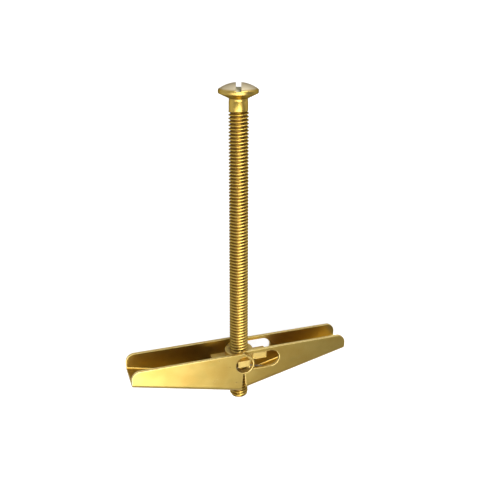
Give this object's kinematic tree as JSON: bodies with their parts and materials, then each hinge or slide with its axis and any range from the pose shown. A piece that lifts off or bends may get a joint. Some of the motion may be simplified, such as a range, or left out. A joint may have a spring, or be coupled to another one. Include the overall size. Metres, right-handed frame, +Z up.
{
  "type": "spring toggle bolt",
  "caption": "Slotted machine screw with a cross nut and sprung folding sheet-metal wings, for fixing into hollow walls and ceilings.",
  "frame": {"origin": "on the screw's axis at the top of the head's rim, from which the screw's length is measured", "axes": "+Y along the screw towards its head, X along the open wings, +Z up from the surface the bolt lies on"},
  "size_m": [0.072, 0.1019, 0.0122],
  "materials": {
    "screw_zinc": "yellow passivated zinc, satin",
    "nut_zinc": "yellow passivated zinc, satin",
    "wing_zinc": "yellow passivated zinc, satin",
    "spring_steel": "zinc plated wire, satin"
  },
  "bodies": {
    "bolt": {"screw": "screw_zinc"},
    "nut_carrier": {"nut": "nut_zinc", "spring": "spring_steel"},
    "outer_wing": {"outer_wing": "wing_zinc"},
    "inner_wing": {"inner_wing": "wing_zinc"}
  },
  "joints": [
    {"name": "nut_travel", "type": "slide", "parent": "bolt", "child": "nut_carrier", "axis": [0, 1, 0], "range_m": [-0.012, 0.046]},
    {"name": "outer_fold", "type": "hinge", "parent": "nut_carrier", "child": "outer_wing", "pos_m": [0, -0.0858, 0], "axis": [0, 0, -1], "range_deg": [0, 85], "stiffness_Nm_per_rad": 0.01, "springref_deg": -34.38, "deforming": ["spring"]},
    {"name": "inner_fold", "type": "hinge", "parent": "nut_carrier", "child": "inner_wing", "pos_m": [0, -0.0858, 0], "axis": [0, 0, 1], "range_deg": [0, 85], "stiffness_Nm_per_rad": 0.01, "springref_deg": -34.38, "deforming": ["spring"]}
  ]
}
